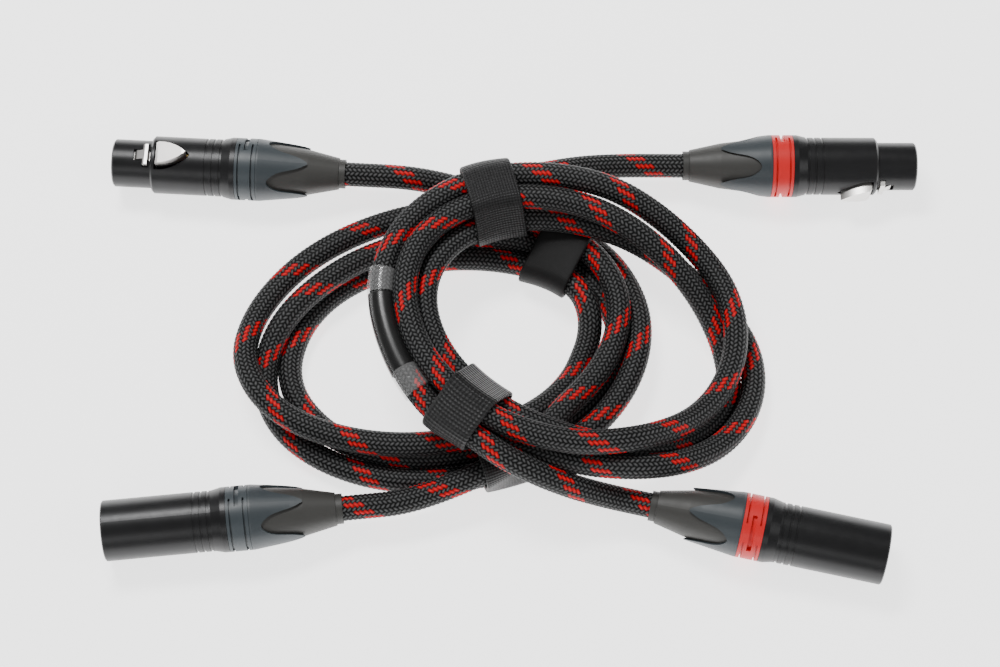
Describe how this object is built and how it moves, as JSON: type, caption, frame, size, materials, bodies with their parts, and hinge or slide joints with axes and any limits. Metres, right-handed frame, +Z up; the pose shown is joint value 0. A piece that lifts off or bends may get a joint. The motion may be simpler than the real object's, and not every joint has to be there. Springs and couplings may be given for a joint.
{
  "type": "xlr cable coil",
  "caption": "Coiled braided microphone cables with three-pole connectors, tied with hook-and-loop straps, lying one over the other.",
  "frame": {"origin": "on the table under the middle of the whole set's box", "axes": "+X to the right along the set's length, +Y away from its front edge, +Z up"},
  "size_m": [0.2628, 0.1508, 0.0327],
  "materials": {
    "black_shell": "satin black coating on die-cast metal, with brighter worn edges",
    "black_insert": "moulded, matt black",
    "gold_contact": "gold plated",
    "nickel_latch": "satin nickel",
    "spring_steel": "plain spring steel",
    "grey_ring": "moulded, slate grey",
    "red_ring": "moulded, bright red, slight gloss",
    "slate_bushing": "moulded, slate grey, slight gloss",
    "rubber_boot": "soft, dark warm grey, matt",
    "white_chuck": "moulded, off-white",
    "wire_insulation": "smooth insulation",
    "braided_cable": "tight braid of black monofilament with red flecks, glossy strands",
    "black_strap": "woven hook-and-loop tape, black, sheen on the ribs",
    "black_sleeve": "black sleeve, blank",
    "clear_shrink": "clear heat-shrink tube"
  },
  "bodies": {
    "root": {"grey_socket_shell": "black_shell", "grey_socket_insert": "black_insert", "grey_socket_contacts": "gold_contact", "grey_socket_latch_spring": "spring_steel", "grey_socket_wires": "wire_insulation", "grey_socket_clamp_chuck": "white_chuck", "grey_socket_tail": "braided_cable", "red_socket_shell": "black_shell", "red_socket_insert": "black_insert", "red_socket_contacts": "gold_contact", "red_socket_latch_spring": "spring_steel", "red_socket_wires": "wire_insulation", "red_socket_clamp_chuck": "white_chuck", "red_socket_tail": "braided_cable", "grey_plug_shell": "black_shell", "grey_plug_insert": "black_insert", "grey_plug_pins": "gold_contact", "grey_plug_wires": "wire_insulation", "grey_plug_clamp_chuck": "white_chuck", "grey_plug_tail": "braided_cable", "red_plug_shell": "black_shell", "red_plug_insert": "black_insert", "red_plug_pins": "gold_contact", "red_plug_wires": "wire_insulation", "red_plug_clamp_chuck": "white_chuck", "red_plug_tail": "braided_cable", "grey_coil": "braided_cable", "grey_upper_strap": "black_strap", "grey_lower_strap": "black_strap", "red_coil": "braided_cable", "red_upper_strap": "black_strap", "red_lower_strap": "black_strap", "label_sleeve": "black_sleeve", "label_shrink": "clear_shrink"},
    "grey_socket_release": {"grey_socket_latch": "nickel_latch"},
    "grey_socket_ring": {"grey_socket_colour_ring": "grey_ring"},
    "grey_socket_nut": {"grey_socket_bushing": "slate_bushing", "grey_socket_boot": "rubber_boot"},
    "red_socket_release": {"red_socket_latch": "nickel_latch"},
    "red_socket_ring": {"red_socket_colour_ring": "red_ring"},
    "red_socket_nut": {"red_socket_bushing": "slate_bushing", "red_socket_boot": "rubber_boot"},
    "grey_plug_ring": {"grey_plug_colour_ring": "grey_ring"},
    "grey_plug_nut": {"grey_plug_bushing": "slate_bushing", "grey_plug_boot": "rubber_boot"},
    "red_plug_ring": {"red_plug_colour_ring": "red_ring"},
    "red_plug_nut": {"red_plug_bushing": "slate_bushing", "red_plug_boot": "rubber_boot"}
  },
  "joints": [
    {"name": "grey_socket_latch_press", "type": "hinge", "parent": "root", "child": "grey_socket_release", "pos_m": [-0.12464, 0.06605, 0.0159], "axis": [0.0541, 0.9985, 0], "range_deg": [0, 7], "stiffness_Nm_per_rad": 0.05, "springref_deg": -11.46, "deforming": ["grey_socket_latch_spring"]},
    {"name": "grey_socket_ring_slide", "type": "slide", "parent": "root", "child": "grey_socket_ring", "axis": [0.9985, -0.0541, 0], "range_m": [0, 0.006]},
    {"name": "grey_socket_nut_turn", "type": "hinge", "parent": "grey_socket_ring", "child": "grey_socket_nut", "pos_m": [-0.0861, 0.06397, 0.0102], "axis": [0.9985, -0.0541, 0], "range_deg": [0, 1081]},
    {"name": "red_socket_latch_press", "type": "hinge", "parent": "root", "child": "red_socket_release", "pos_m": [0.12498, 0.05935, 0.0102], "axis": [0, 0, -1], "range_deg": [0, 7], "stiffness_Nm_per_rad": 0.05, "springref_deg": -11.46, "deforming": ["red_socket_latch_spring"]},
    {"name": "red_socket_ring_slide", "type": "slide", "parent": "root", "child": "red_socket_ring", "axis": [-1, 0.0035, 0], "range_m": [0, 0.006]},
    {"name": "red_socket_nut_turn", "type": "hinge", "parent": "red_socket_ring", "child": "red_socket_nut", "pos_m": [0.0864, 0.06519, 0.0102], "axis": [-1, 0.0035, 0], "range_deg": [0, 1081]},
    {"name": "grey_plug_ring_slide", "type": "slide", "parent": "root", "child": "grey_plug_ring", "axis": [0.9952, 0.0976, 0], "range_m": [0, 0.006]},
    {"name": "grey_plug_nut_turn", "type": "hinge", "parent": "grey_plug_ring", "child": "grey_plug_nut", "pos_m": [-0.08271, -0.05421, 0.0102], "axis": [0.9952, 0.0976, 0], "range_deg": [0, 1081]},
    {"name": "red_plug_ring_slide", "type": "slide", "parent": "root", "child": "red_plug_ring", "axis": [-0.977, 0.213, 0], "range_m": [0, 0.006]},
    {"name": "red_plug_nut_turn", "type": "hinge", "parent": "red_plug_ring", "child": "red_plug_nut", "pos_m": [0.07093, -0.05661, 0.0102], "axis": [-0.977, 0.213, 0], "range_deg": [0, 1081]}
  ],
  "couplings": [
    {"joint": "grey_socket_nut_turn", "follows": "grey_socket_ring_slide", "rad_per_m": 3141.6},
    {"joint": "red_socket_nut_turn", "follows": "red_socket_ring_slide", "rad_per_m": 3141.6},
    {"joint": "grey_plug_nut_turn", "follows": "grey_plug_ring_slide", "rad_per_m": 3141.6},
    {"joint": "red_plug_nut_turn", "follows": "red_plug_ring_slide", "rad_per_m": 3141.6}
  ]
}
